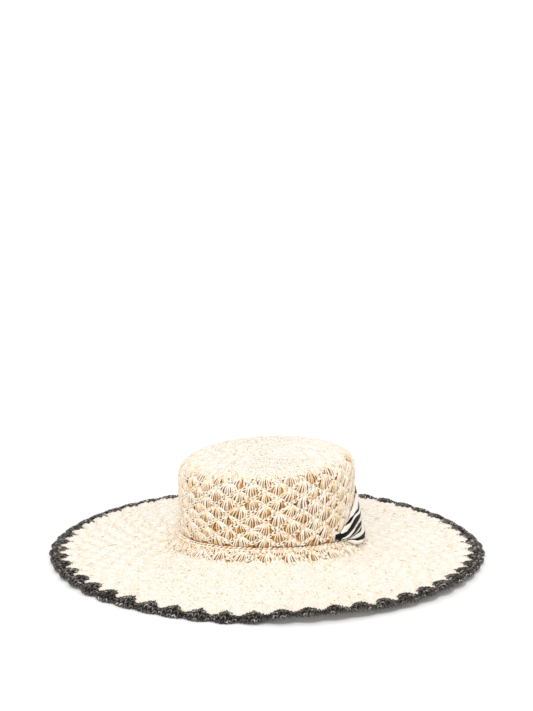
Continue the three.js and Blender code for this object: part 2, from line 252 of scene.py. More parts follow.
# Where six black stripes start and end across the cloth, from its upper edge at 0 to 1
PRINT_ROWS = [
    dict(arc=2.4, stripes=(-19, -18, -9, -8, -0.5, 1.5, 8, 9, 12, 13, 16, 17)),
    dict(arc=3.6, stripes=(-1.6, -1.5, -0.6, -0.5, 0.16, 0.52, 0.74, 0.95, 1.1, 1.2, 1.3, 1.4)),
    dict(arc=8, stripes=(-0.6, -0.5, -0.1, -0.04, 0.26, 0.47, 0.6, 0.7, 0.72, 0.73, 0.78, 0.88)),
    dict(arc=10, stripes=(-0.6, -0.5, -0.04, 0.03, 0.25, 0.46, 0.57, 0.69, 0.71, 0.725, 0.78, 0.86)),
    dict(arc=15, stripes=(-0.6, -0.5, 0.05, 0.14, 0.25, 0.46, 0.53, 0.66, 0.685, 0.71, 0.78, 0.86)),
    dict(arc=21, stripes=(-0.6, -0.5, 0.12, 0.2, 0.27, 0.45, 0.5, 0.62, 0.69, 0.72, 0.8, 0.875)),
    dict(arc=26, stripes=(-0.6, -0.5, 0.18, 0.25, 0.29, 0.42, 0.48, 0.58, 0.7, 0.74, 0.82, 0.88)),
    dict(arc=30, stripes=(-0.2, -0.12, 0.22, 0.28, 0.32, 0.42, 0.5, 0.58, 0.7, 0.75, 0.83, 0.88)),
    dict(arc=37, stripes=(-0.06, 0.06, 0.2, 0.28, 0.34, 0.44, 0.54, 0.62, 0.72, 0.78, 0.86, 0.92)),
    dict(arc=98, stripes=(-0.06, 0.08, 0.16, 0.24, 0.34, 0.44, 0.52, 0.6, 0.7, 0.78, 0.88, 0.94)),
]
PRINT_STEP = 0.2                # half the width of a stripe in the print

UNDER_HAT = Vector((0, 0, -0.3))        # a point in metres that all inner faces look towards

# Camera at the photograph's angle: 2 m away, 17.6 degrees up, looking 11.6 degrees down. In metres
CAMERA_DISTANCE, CAMERA_ELEVATION = 2.0, math.radians(17.58)
CAMERA_PITCH = math.radians(11.61)
CAMERA_OFFSET = -0.00053
CAMERA_RAISE = 0.0016
PHOTO_HEIGHT, FOCAL_PIXELS, SENSOR = 711, 1860.4, 36.0
FLOOR_HALF = 60.0


def lerp(a, b, t):
    return a + (b - a) * t


def evenly(start, end, steps):
    """Places from a start to an end, in even steps."""
    return [lerp(start, end, k / steps) for k in range(steps + 1)]


def smooth(t):
    t = min(max(t, 0.0), 1.0)
    return t * t * (3 - 2 * t)


def between(rows, key, place):
    """The two rows of a table around a place, and the place's share of the way."""
    for low, high in zip(rows, rows[1:]):
        if place <= high[key]:
            break
    return low, high, min(max((place - low[key]) / (high[key] - low[key]), 0.0), 1.0)


def read(rows, key, column, place):
    low, high, share = between(rows, key, place)
    return lerp(low[column], high[column], share)


def rim_lift(heading):
    start = RIM_WAVES[0]["heading"]
    degrees = (math.degrees(heading) - start) % 360 + start
    if degrees > RIM_WAVES[-1]["heading"]:
        return RIM_WAVES[0]["lift"]
    low, high, share = between(RIM_WAVES, "heading", degrees)
    return lerp(low["lift"], high["lift"], smooth(share))


def junction(heading):
    return JUNCTION_HEIGHT + JUNCTION_SWAY * math.cos(2 * heading)


def polar(radius, heading, height):
    return Vector((radius * math.sin(heading), -radius * math.cos(heading), height))


# Lengths along the crown's half section
HALF = FABRIC / 2
WALL_TOP_RADIUS = CROWN_RADIUS - CROWN_TAPER
FLAT = (WALL_TOP_RADIUS - TURN_RADIUS * (1 - math.sin(SHOULDER_SWEEP))
        - SHOULDER_RADIUS * math.sin(SHOULDER_SWEEP))
SHOULDER_RUN = (SHOULDER_RADIUS - HALF) * SHOULDER_SWEEP
TURN_RUN = (TURN_RADIUS - HALF) * (math.pi / 2 - SHOULDER_SWEEP)
WALL_HEIGHT = (CROWN_HEIGHT - SHOULDER_RADIUS * (1 - math.cos(SHOULDER_SWEEP))
               - TURN_RADIUS * math.cos(SHOULDER_SWEEP))
WALL_START = FLAT + SHOULDER_RUN + TURN_RUN
CROWN_RUN = WALL_START + WALL_HEIGHT - JUNCTION_HEIGHT


def crown_section(run):
    """Radius, height and outward direction of the crown's cloth, before it leans."""
    top = CROWN_HEIGHT - HALF
    shoulder, turn = SHOULDER_RADIUS - HALF, TURN_RADIUS - HALF
    if run < FLAT:
        return run, top, 0.0, 1.0
    if run < FLAT + SHOULDER_RUN:
        angle = (run - FLAT) / shoulder
        radius = FLAT + shoulder * math.sin(angle)
        return radius, top - shoulder * (1 - math.cos(angle)), math.sin(angle), math.cos(angle)
    if run < WALL_START:
        angle = SHOULDER_SWEEP + (run - FLAT - SHOULDER_RUN) / turn
        radius = FLAT + (shoulder - turn) * math.sin(SHOULDER_SWEEP) + turn * math.sin(angle)
        height = WALL_HEIGHT + turn * math.cos(angle)
        return radius, height, math.sin(angle), math.cos(angle)
    down = (run - WALL_START) / (CROWN_RUN - WALL_START)
    radius = lerp(WALL_TOP_RADIUS - HALF, CROWN_RADIUS - HALF, down)
    return radius, lerp(WALL_HEIGHT, JUNCTION_HEIGHT, down), 1.0, 0.0


def crown_radius_at(run):
    return crown_section(max(run, 0.0))[0]


def on_crown(run, heading, lift):
    radius, height, out, up = crown_section(run)
    spot = polar(radius + lift * out, heading, height + lift * up)
    share = min(max((spot.z - JUNCTION_HEIGHT) / (WALL_HEIGHT - JUNCTION_HEIGHT), 0.0), 1.0)
    spot.z += (1 - share) * (junction(heading) - JUNCTION_HEIGHT) + share * CROWN_LEAN * spot.x
    spot.x += share * CROWN_SHIFT
    return spot


def brim_height(radius, heading):
    near = smooth(1 - (radius - CROWN_RADIUS) / SWAY_REACH)
    outward = min(max((radius - CROWN_RADIUS) / (EDGING_RADIUS - CROWN_RADIUS), 0.0), 1.0)
    rise = JUNCTION_SWAY * math.cos(2 * heading) * near + rim_lift(heading) * outward ** WAVE_POWER
    return read(BRIM_ROWS, "radius", "height", radius) + rise


def brim_walk():
    """Pairs of run and radius, a millimetre apart in radius, from the crown's foot outwards."""
    run, pairs = 0.0, []
    last = BRIM_ROWS[0]["height"]
    for step in range(int(EDGING_RADIUS + 8 - BRIM_ROWS[0]["radius"])):
        radius = BRIM_ROWS[0]["radius"] + step
        height = read(BRIM_ROWS, "radius", "height", radius)
        run += math.hypot(1.0, height - last) if step else 0.0
        pairs.append(dict(run=run, radius=radius))
        last = height
    return pairs


BRIM_WALK = brim_walk()


def brim_radius(run):
    place = min(max(run, 0.0), BRIM_WALK[-1]["run"] - 0.01)
    low = int(place * len(BRIM_WALK) / BRIM_WALK[-1]["run"])
    while BRIM_WALK[low]["run"] > place:
        low -= 1
    while BRIM_WALK[low + 1]["run"] < place:
        low += 1
    a, b = BRIM_WALK[low], BRIM_WALK[low + 1]
    return lerp(a["radius"], b["radius"], (place - a["run"]) / (b["run"] - a["run"]))


def at_radius(radius, heading, lift):
    """A point of the brim or the edging by its radius."""
    step = 2.0
    rise = (brim_height(radius - step, heading) - brim_height(radius + step, heading)) / (2 * step)
    length = math.hypot(1.0, rise)
    out, up = rise / length, 1 / length
    return polar(radius + lift * out, heading, brim_height(radius, heading) + lift * up)


def run_at(radius):
    place = radius - BRIM_WALK[0]["radius"]
    low = min(int(place), len(BRIM_WALK) - 2)
    return lerp(BRIM_WALK[low]["run"], BRIM_WALK[low + 1]["run"], place - low)


def on_brim(run, heading, lift):
    return at_radius(brim_radius(run), heading, lift)


def near_eyelet(spot):
    for degrees in EYELETS:
        middle = polar(CROWN_RADIUS, math.radians(degrees), EYELET_HEIGHT)
        if (spot - middle).length < EYELET_RADIUS + EYELET_CLEAR:
            return True
    return False


class Yarn:
    """Gathers strands of (point, radius) pairs and turns them into one mesh of round cords."""

    def __init__(self, seed):
        self.dice = random.Random(seed)
        self.curve = bpy.data.curves.new(seed, "CURVE")
        for _ in range(SHADES + 1):
            self.curve.materials.append(None)       # slots that carry each cord's shade to the mesh

    def add(self, points, shade):
        if near_eyelet(points[-1][0]):
            return
        spline = self.curve.splines.new("POLY")
        spline.points.add(len(points) - 1)
        places = [c for spot, _ in points for c in (*(spot * MM), 1.0)]
        spline.points.foreach_set("co", places)
        spline.points.foreach_set("radius", [radius for _, radius in points])
        spline.material_index = round(shade * SHADES)

    def knit(self, name):
        """The cords as a mesh, whose shade attribute says how dark each cord is, from 0 to 1."""
        self.curve.dimensions = "3D"
        self.curve.bevel_depth = MM
        self.curve.bevel_resolution = CORD_SIDES // 2 - 2
        self.curve.use_fill_caps = True
        cord = bpy.data.objects.new(name, self.curve)
        bpy.context.scene.collection.objects.link(cord)
        graph = bpy.context.evaluated_depsgraph_get()
        mesh = bpy.data.meshes.new_from_object(cord.evaluated_get(graph))
        bpy.data.objects.remove(cord)
        bpy.data.curves.remove(self.curve)
        steps = [0] * len(mesh.polygons)
        mesh.polygons.foreach_get("material_index", steps)
        shades = mesh.attributes.new("shade", "FLOAT", "FACE")
        shades.data.foreach_set("value", [step / SHADES for step in steps])
        mesh.polygons.foreach_set("material_index", [0] * len(steps))
        mesh.materials.clear()
        bm = bmesh.new()
        bm.from_mesh(mesh)
        bmesh.ops.remove_doubles(bm, verts=bm.verts, dist=0.001 * MM)
        bm.to_mesh(mesh)
        bm.free()
        return make_piece(name, mesh)


def make_piece(name, mesh):
    mesh.name = name
    piece = bpy.data.objects.new(name, mesh)
    bpy.context.scene.collection.objects.link(piece)
    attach(piece, "root")
    return piece


def dress(piece, material, node_name, inside=None):
    """Inside is the material of the faces that look towards the head, where it is another one."""
    piece.data.materials.clear()
    piece.data.materials.append(material)
    if inside:
        piece.data.materials.append(inside)
        for face in piece.data.polygons:
            if face.normal.dot(face.center - UNDER_HAT) < 0:
                face.material_index = 1
    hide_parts(node_name)


class Round:
    """One round of shells: where each shell's scallop runs. No scallop passes the limit. A pale round
    is smooth, and its strands are painted light, as on the tip and the outer brim."""

    def __init__(self, run, count, shift, radius, limit, pale=0.0):
        self.run, self.count, self.shift, self.limit, self.pale = run, count, shift, limit, pale
        self.wide = 2 * math.pi / count
        self.width = radius * self.wide
        self.depth = SCALLOP * self.width

    def cusp(self, heading):
        drift = 0.0
        for wave in CUSP_WAVES:
            drift += wave["reach"] * math.sin(wave["number"] * heading + wave["turn"] * self.run)
        return self.run + drift

    def edge(self, heading):
        t = (heading / self.wide - self.shift + 0.5) % 1
        dip = 0.5 - 0.5 * math.cos(2 * math.pi * t ** ARC_SKEW)
        scallop = self.depth * dip ** SCALLOP_POWER
        return min(self.cusp(heading) + scallop, self.limit)


def pale_crown(run):
    """1 on the tip, whose strands are painted light, 0 on the wall."""
    return smooth((FLAT + TIP_FADE[1] - run) / (TIP_FADE[1] - TIP_FADE[0]))


def pale_brim(run):
    """0 at the crown's foot, darker as painted shade, 1 on the rest of the brim, painted light."""
    return smooth((run - BRIM_FADE[0]) / (BRIM_FADE[1] - BRIM_FADE[0]))


def count_across(row, pitch):
    """How many posts or loops of a pitch fit across one shell."""
    return min(max(round(row.width / lerp(pitch, PALE_PITCH, row.pale)), FEWEST), MOST)


def add_posts(yarn, place, above, row, heading, tones):
    """The posts of one shell. They fan out from a cusp of the round above, and short ones fill the
    corners beside them."""
    number = count_across(row, POST_PITCH)
    spread = FAN_SPREAD * row.wide * yarn.dice.uniform(*SPREAD_RANGE)
    lean = yarn.dice.uniform(-LEAN, LEAN) * row.wide
    thick = POST_FILL * row.width / number
    for k in range(-1, number + 1):
        corner = k < 0 or k == number
        t = (k + 0.5) / number - 0.5 + yarn.dice.uniform(-POST_STRAY, POST_STRAY)
        fat = thick * yarn.dice.uniform(*POST_RANGE)
        sink = yarn.dice.uniform(-POST_SINK, POST_SINK)
        start = above.edge(heading + t * spread if corner else heading) + POST_TUCK
        end = row.edge(heading + t * spread + lean) - POST_STOP
        if end - start < SHORTEST_POST or yarn.dice.random() < DROPPED:
            continue
        points = []
        for point in POST_POINTS[1:] if corner else POST_POINTS:
            across = heading + t * (1 if corner else point["out"]) * spread + lean * point["along"]
            dome = DOME * (1 - 4 * t * t) * math.sin(math.pi * point["along"]) if not corner else 0
            lift = (point["lift"] + dome) * lerp(1, PALE_LIFT, row.pale) + sink
            spot = place(lerp(start, end, point["along"]), across, lift)
            points.append((spot, point["radius"] * fat))
        # A random shade, cut in a pale round as painted light
        shade = yarn.dice.uniform(*tones) * lerp(1, PAINTED_LIGHT_SHADE, row.pale)
        tanned = yarn.dice.random() < TANNED * (1 - row.pale)
        yarn.add(points, yarn.dice.uniform(*TANNED_SHADES) if tanned else shade)


def add_chain(yarn, path, loops, gauge, shade):
    """A plaited chain: pairs of legs, each pair opening like a V out of the one before.
    The path gives a point for a share of the way and a lift."""
    for k in range(loops):
        tone = yarn.dice.uniform(*shade)
        fat = gauge * yarn.dice.uniform(*CHAIN_RANGE)
        stray = yarn.dice.uniform(-CHAIN_STRAY, CHAIN_STRAY)
        for side in (-1, 1):
            points = []
            for point in CHAIN_LEG:
                t = (k + point["along"]) / loops
                here = path(t, point["lift"] * fat)
                along = path(t + 0.01, 0) - path(t - 0.01, 0)
                up = path(t, 1) - path(t, 0)
                across = along.cross(up).normalized()
                out = (side * point["out"] + stray) * fat
                points.append((here + across * out, point["radius"] * fat))
            # Painted shade and light: one leg of each pair darker, the lower one on the wall and the
            # brim
            darker = side * (shade[1] - shade[0]) / 4
            yarn.add(points, min(tone + darker + LEG_SHADE, 1))


def add_shell(yarn, place, above, row, heading, tones):
    add_posts(yarn, place, above, row, heading, tones)
    if row.edge(heading) >= row.limit:
        return

    def scallop(t, lift):
        across = heading + (t - 0.5) * row.wide
        return place(row.edge(across), across, lerp(CHAIN_LIFT, PALE_CHAIN_LIFT, row.pale) + lift)

    # The raised chain is lighter than its posts: painted light
    darkest = PAINTED_LIGHT_CHAIN_SHADE * tones[1] * lerp(1, PAINTED_LIGHT_SHADE, row.pale)
    add_chain(yarn, scallop, count_across(row, LOOP_PITCH), CHAIN_GAUGE, (0.0, darkest))


def crochet_rounds(names, place, radius_at, pitch, limit, shells, shift, tones, pale):
    """Rounds of shells from the first run outwards, shared out to the named pieces."""
    above = Round(FIRST_RUN, 1, 0.0, 0.0, FIRST_RUN)
    rounds = []
    for number, count in enumerate(shells):
        run = FIRST_RUN + (number + 0.5) * pitch
        rounds.append(Round(run, count, shift, radius_at(run + pitch / 2), limit, pale(run)))
        shift = (shift + 0.5) % 1
    share = math.ceil(len(rounds) / len(names))
    pieces = []
    for first, name in zip(range(0, len(rounds), share), names):
        yarn = Yarn(name)
        for row in rounds[first:first + share]:
            for k in range(row.count):
                add_shell(yarn, place, above, row, (k + row.shift) * row.wide, tones)
            above = row
        pieces.append(yarn.knit(name))
    return pieces


def spin_sheet(name, runs, place, lift, around=GROUND_STEPS):
    """A thin closed sheet under the stitches: a half section spun round and laid on the form."""
    hub = 10.0      # keeps the half section off the axis while it is spun
    bm = bmesh.new()
    corners = [bm.verts.new((hub + run, 0, 0)) for run in runs]
    edges = [bm.edges.new(pair) for pair in zip(corners, corners[1:])]
    bmesh.ops.spin(bm, geom=corners + edges, cent=(0, 0, 0), axis=(0, 0, 1), steps=around,
                   angle=2 * math.pi, use_merge=True)
    for v in bm.verts:
        v.co = place(v.co.to_2d().length - hub, math.atan2(v.co.x, -v.co.y), lift) * MM
    bmesh.ops.remove_doubles(bm, verts=bm.verts, dist=0.01 * MM)
    bmesh.ops.recalc_face_normals(bm, faces=bm.faces)
    bmesh.ops.solidify(bm, geom=bm.faces[:], thickness=GROUND_THICK * MM)
    for f in bm.faces:
        f.smooth = True
    mesh = bpy.data.meshes.new(name)
    bm.to_mesh(mesh)
    bm.free()
    return make_piece(name, mesh)


def linear(code):
    """An sRGB hex colour as linear numbers, with an alpha of 1."""
    channels = [int(code[i:i + 2], 16) / 255 for i in (1, 3, 5)]
    return [c / 12.92 if c <= 0.04045 else ((c + 0.055) / 1.055) ** 2.4 for c in channels] + [1.0]


def node(tree, kind, settings=None, links=None):
    """Adds a node, sets its properties and inputs, and joins inputs to other nodes' outputs."""
    made = tree.nodes.new(kind)
    for key, value in (settings or {}).items():
        if isinstance(key, str) and hasattr(made, key):
            setattr(made, key, value)
        else:
            made.inputs[key].default_value = value
    for key, source in (links or {}).items():
        tree.links.new(source, made.inputs[key])
    return made


def new_material(name):
    material = bpy.data.materials.new(name)
    material.use_nodes = True
    tree = material.node_tree
    tree.nodes.clear()
    return material, tree


def finish_material(tree, shader):
    out = node(tree, "ShaderNodeOutputMaterial")
    tree.links.new(shader.outputs[0], out.inputs["Surface"])


def cells(size):
    """The scale of a noise texture with cells of a size in millimetres."""
    return 1 / (size * MM)


def colour_ramp(tree, source, stops):
    ramp = node(tree, "ShaderNodeValToRGB", None, {"Fac": source})
    elements = ramp.color_ramp.elements
    while len(elements) < len(stops):
        elements.new(0.5)
    for element, (place, colour) in zip(elements, stops):
        element.position = place
        element.color = linear(colour)
    return ramp


# root: colour of the tanned patches, and of the painted shade at one end of each strand
def raffia(name, shades, streak, root, roughness):
    """Raffia yarn: split palm fibre, twisted and hooked. The eye gets streaks along each strand,
    strands of slightly different shades and a dry, faintly silky surface."""
    material, tree = new_material(name)
    shade = node(tree, "ShaderNodeAttribute", dict(attribute_name="shade"))
    tones = colour_ramp(tree, shade.outputs["Fac"], shades)
    uv = node(tree, "ShaderNodeUVMap", dict(uv_map="UVMap"))
    # Painted shade: darker strands take the root colour towards one end, where they dive under others
    split = node(tree, "ShaderNodeSeparateXYZ", None, {"Vector": uv.outputs["UV"]})
    ends = colour_ramp(tree, split.outputs["X"], [(0.45, "#FFFFFF"), (0.85, root)])
    end_shaded = node(tree, "ShaderNodeMix", dict(data_type="RGBA", blend_type="MULTIPLY"),
                  {"Factor": shade.outputs["Fac"]})
    tree.links.new(tones.outputs["Color"], end_shaded.inputs[6])
    tree.links.new(ends.outputs["Color"], end_shaded.inputs[7])
    # Fibres about 0.3 mm wide and 8 mm long: a strand is some 8 mm round and 12 mm long
    stretch = node(tree, "ShaderNodeMapping", dict(Scale=(1.5, 26.0, 1.0)),
                   {"Vector": uv.outputs["UV"]})
    fibres = node(tree, "ShaderNodeTexNoise", {"Scale": 1.0, "Detail": 3.0, "Roughness": 0.6},
                  {"Vector": stretch.outputs["Vector"]})
    place = node(tree, "ShaderNodeTexCoord")
    # Patches some 3 mm long where a strand is tanned, strongest on the darker strands
    patches = node(tree, "ShaderNodeTexNoise", {"Scale": cells(3.03), "Detail": 2.0},
                   {"Vector": place.outputs["Object"]})
    tanned = colour_ramp(tree, patches.outputs["Fac"], [(0.45, root), (0.54, "#FFFFFF")])
    patched = node(tree, "ShaderNodeMix", dict(data_type="RGBA", blend_type="MULTIPLY"),
                   {"Factor": shade.outputs["Fac"]})
    tree.links.new(end_shaded.outputs[2], patched.inputs[6])
    tree.links.new(tanned.outputs["Color"], patched.inputs[7])
    streaks = colour_ramp(tree, fibres.outputs["Fac"], streak)
    mixed = node(tree, "ShaderNodeMix", dict(data_type="RGBA", blend_type="MULTIPLY"))
    mixed.inputs["Factor"].default_value = 0.55
    tree.links.new(patched.outputs[2], mixed.inputs[6])
    tree.links.new(streaks.outputs["Color"], mixed.inputs[7])
    height = node(tree, "ShaderNodeMath", dict(operation="ADD"))
    tree.links.new(fibres.outputs["Fac"], height.inputs[0])
    tree.links.new(patches.outputs["Fac"], height.inputs[1])
    bump = node(tree, "ShaderNodeBump", {"Strength": 0.6, "Distance": 0.35 * MM},
                {"Height": height.outputs["Value"]})
    shader = node(tree, "ShaderNodeBsdfPrincipled",
                  {"Roughness": roughness, "IOR": 1.45, "Specular IOR Level": 0.35},
                  {"Normal": bump.outputs["Normal"]})
    tree.links.new(mixed.outputs[2], shader.inputs["Base Color"])
    finish_material(tree, shader)
    return material


def shadowed_raffia(name, shades):
    """The backs of the stitches in the gaps: the same fibre; dark shades given to it are painted shade.
    """
    material, tree = new_material(name)
    place = node(tree, "ShaderNodeTexCoord")
    # Patches some 2.4 mm across, a little less than the pitch of the posts over them
    noise = node(tree, "ShaderNodeTexNoise", {"Scale": cells(2.381), "Detail": 4.0},
                 {"Vector": place.outputs["Object"]})
    tones = colour_ramp(tree, noise.outputs["Fac"], shades)
    bump = node(tree, "ShaderNodeBump", {"Strength": 0.7, "Distance": 0.5 * MM},
                {"Height": noise.outputs["Fac"]})
    shader = node(tree, "ShaderNodeBsdfPrincipled", {"Roughness": 0.8, "IOR": 1.45},
                  {"Normal": bump.outputs["Normal"]})
    tree.links.new(tones.outputs["Color"], shader.inputs["Base Color"])
    finish_material(tree, shader)
    return material


def zebra_cloth(name):
    """Printed satin: black stripes with wavering edges on ivory, and a soft sheen."""
    material, tree = new_material(name)
    place = node(tree, "ShaderNodeTexCoord")
    printed = node(tree, "ShaderNodeAttribute", dict(attribute_name="print"))
    # The stripes waver over some 20 mm by a tenth of their pitch
    noise = node(tree, "ShaderNodeTexNoise", {"Scale": cells(20.0), "Detail": 2.0},
                 {"Vector": place.outputs["Object"]})
    bend = node(tree, "ShaderNodeMath", {"operation": "MULTIPLY_ADD", 1: 0.3},
                {"Value": noise.outputs["Fac"]})
    tree.links.new(printed.outputs["Fac"], bend.inputs[2])
    turns = node(tree, "ShaderNodeMath",
                 {"operation": "MULTIPLY_ADD", 1: 2 * math.pi, 2: -0.3 * math.pi},
                 {"Value": bend.outputs["Value"]})
    wave = node(tree, "ShaderNodeMath", dict(operation="COSINE"), {"Value": turns.outputs["Value"]})
    tones = colour_ramp(tree, wave.outputs["Value"], [(0.26, "#F1ECE4"), (0.34, "#070504")])
    # The real threads are too fine to show, so the weave is drawn some 1.1 mm coarse
    weave = node(tree, "ShaderNodeTexNoise", {"Scale": cells(1.111)},
                 {"Vector": place.outputs["Object"]})
    bump = node(tree, "ShaderNodeBump", {"Strength": 0.2, "Distance": 0.1 * MM},
                {"Height": weave.outputs["Fac"]})
    shader = node(tree, "ShaderNodeBsdfPrincipled",
                  {"Roughness": 0.55, "IOR": 1.45, "Specular IOR Level": 0.22},
                  {"Normal": bump.outputs["Normal"]})
    tree.links.new(tones.outputs["Color"], shader.inputs["Base Color"])
    finish_material(tree, shader)
    return material


def plain_white(name):
    """Matt studio paper, with no sheen."""
    material, tree = new_material(name)
    shader = node(tree, "ShaderNodeBsdfPrincipled",
                  {"Base Color": linear("#FBFBFB"), "Roughness": 1.0, "Specular IOR Level": 0.0})
    finish_material(tree, shader)
    return material


def make_rib():
    """Two chains round the crown's foot, one in the corner and a raised one outside it, each over a
    darker core that shows in their gaps as painted shade."""
    yarn = Yarn("rib")

    def corner(t, lift):
        heading = t * 2 * math.pi
        height = junction(heading) - CORNER_DROP + CORNER_SLOPE * lift
        return polar(CROWN_RADIUS - CORNER_IN + lift, heading, height)

    def ridge(t, lift):
        return on_brim(RIDGE_RUN, t * 2 * math.pi, RIDGE_LIFT + lift)

    ropes = ((corner, CORNER_CHAIN), (ridge, RIDGE_CHAIN))
    for path, rope in ropes:
        add_chain(yarn, path, rope["loops"], rope["gauge"], RIB_SHADES)
    # The cores: painted shade in the gaps of the rope
    for path, rope in ropes:
        core = [(path(k / RIB_STEPS, -rope["sunk"]), rope["core"]) for k in range(RIB_STEPS + 1)]
        yarn.add(core, rope["shade"])
    return yarn.knit("rib_stitches")


def make_fibres(name, place, radius_at, runs, number):
    """Short darker fibres that show here and there in the pale strands, mostly along the run."""
    yarn = Yarn(name)
    while number:
        run = yarn.dice.uniform(*runs)
        if yarn.dice.random() > radius_at(run) / radius_at(runs[1]):
            continue
        heading = yarn.dice.uniform(0, 2 * math.pi)
        length, slant = yarn.dice.uniform(*FIBRE_LENGTHS), yarn.dice.gauss(0, FIBRE_SLANT)
        points = []
        for point in FIBRE_POINTS:
            reach = point["along"] * length
            across = reach * math.sin(slant) / radius_at(run)
            spot = place(run + reach * math.cos(slant), heading + across, FIBRE_LIFT)
            points.append((spot, point["radius"]))
        yarn.add(points, yarn.dice.uniform(*FIBRE_SHADES))
        number -= 1
    return yarn.knit(name)


def on_shell(out, heading, lift):
    """A point of the edging: out goes from 0 at the shells' inner outline to 1 at the scallops, and
    past 1 down the outer face. No two shells are quite alike."""
    t = (heading / RIM_WIDE) % 1 - 0.5
    middle = math.cos(math.pi * t) ** 2
    number = math.floor(heading / RIM_WIDE) % RIM_SHELLS
    # Two sines with nothing in common stand in for chance
    fuller, longer = math.sin(12.9 * number), math.sin(7.3 * number + 1)
    over = max(out - 1, 0.0)
    turn = smooth(over / EDGE_TURN)
    inner = lerp(FOOT_RADIUS, NECK_RADIUS, abs(2 * t) ** FOOT_POWER) - UNEVEN_FOOT * fuller * middle
    outer = EDGING_RADIUS - SCALLOP_IN - NOTCH * (1 - math.cos(math.pi * t))
    outer += UNEVEN_EDGE * longer * middle
    wave = -RUFFLE * smooth(out) * math.cos(2 * math.pi * t)
    dome = smooth(out / PUFF_FULL) * lerp(1, 0.5, smooth((out - PUFF_FALL) / (1 - PUFF_FALL)))
    puff = lerp(NECK_PUFF, PUFF + UNEVEN_PUFF * fuller, middle) * dome
    radius = lerp(inner, outer, min(out, 1.0)) + lift * turn
    return at_radius(radius, heading, lift * (1 - turn) + wave + puff - EDGE_DROP * over)


def make_edging():
    """Dark border: a ring of shells of V stitches with a spike at each foot, and a chain along the
    underside of their edge."""
    yarn = Yarn("edging")
    for k in range(RIM_SHELLS):
        middle = (k + 0.5) * RIM_WIDE
        for row in SHELL_ROWS:
            pitch = 2 * row["reach"] / row["stitches"]
            for j in range(row["stitches"]):
                stray = yarn.dice.uniform(-STITCH_STRAY, STITCH_STRAY)
                t = -row["reach"] + (j + 0.5 + stray) * pitch
                slide = yarn.dice.uniform(-ROW_STRAY, ROW_STRAY)
                tone = yarn.dice.uniform(*STITCH_SHADES)
                for side in (-1, 1):
                    points = []
                    for point in STITCH_LEG:
                        heading = middle + (t + side * point["out"] * pitch) * RIM_WIDE
                        out = row["out"] + slide + point["along"] * ROW_DEPTH
                        points.append((on_shell(out, heading, point["lift"]), point["radius"]))
                    yarn.add(points, tone + yarn.dice.uniform(*LEG_SHADES))

        for side in (-1, 1):
            points = []
            for point in SPIKE_POINTS:
                heading = middle + side * SPIKE_OPEN * point["along"] * RIM_WIDE
                radius = FOOT_RADIUS - SPIKE * (1 - point["along"])
                points.append((at_radius(radius, heading, SPIKE_LIFT), point["radius"]))
            yarn.add(points, yarn.dice.uniform(*SPIKE_SHADES))

        def hem(t, lift):
            return on_shell(HEM_OUT, (k + t) * RIM_WIDE, lift - HEM_SINK)

        add_chain(yarn, hem, HEM_LOOPS, HEM_GAUGE, HEM_SHADES)
    return yarn.knit("edging_stitches")


def seat(heading, past, lift):
    """A point against the wall or on the brim, past the junction by a distance, or up the wall where
    that is negative."""
    over = max(past, 0.0)
    radius = CROWN_RADIUS + WALL_CLEAR + over * math.cos(BRIM_SLOPE)
    height = junction(heading) - past if past < 0 else brim_height(radius, heading) + BRIM_CLEAR
    tilt = (math.pi / 2 - BRIM_SLOPE) * smooth((past / SEAT_REACH + 1) / 2)
    return polar(radius + lift * math.cos(tilt), heading, height + lift * math.sin(tilt))


def scarf_section(across, arc, heading):
    """Past and lift of the cloth's outer face: pleats down the wall to its foot, then a lobe that lies
    on the brim and is rolled under."""
    upper = read(SCARF_ROWS, "arc", "upper", arc) - junction(heading)
    spill, roll, swell = (read(SCARF_ROWS, "arc", column, arc) for column in ("spill", "roll", "swell"))
    foot = -read(SCARF_ROWS, "arc", "foot", arc)
    if across < SCARF_FOOT:
        t = across / SCARF_FOOT
        pleat = math.sin(PLEATS * math.pi * t) ** 2 * smooth(arc / PLEAT_START)
        fullness = lerp(LEAST_SWELL, 1, smooth(SWELL_STEEPNESS * t)) * swell + PLEAT_HEIGHT * pleat
        return lerp(-upper, foot, t), CLOTH_LIFT + fullness * smooth(EDGE_STEEPNESS * t)
    turn = math.radians(lerp(*LOBE_TURN, max(across - SCARF_LOBE, 0) / (1 - SCARF_LOBE)))
    past, lift = spill - roll + roll * math.cos(turn), roll + roll * math.sin(turn)
    if across < SCARF_LOBE:
        t = smooth((across - SCARF_FOOT) / (SCARF_LOBE - SCARF_FOOT))
        return lerp(foot, past, t), lerp(CLOTH_LIFT + swell, lift, t)
    return past, lift


def print_place(across, arc):
    """The place in the print. Whole numbers lie in the middle of a black stripe."""
    low, high, share = between(PRINT_ROWS, "arc", arc)
    edges = [lerp(a, b, share) for a, b in zip(low["stripes"], high["stripes"])]
    places = [1 + k // 2 + PRINT_STEP * (-1, 1)[k % 2] for k in range(len(edges))]
    for k in range(len(edges) - 1):
        if across <= edges[k + 1]:
            break
    return lerp(places[k], places[k + 1], (across - edges[k]) / (edges[k + 1] - edges[k]))


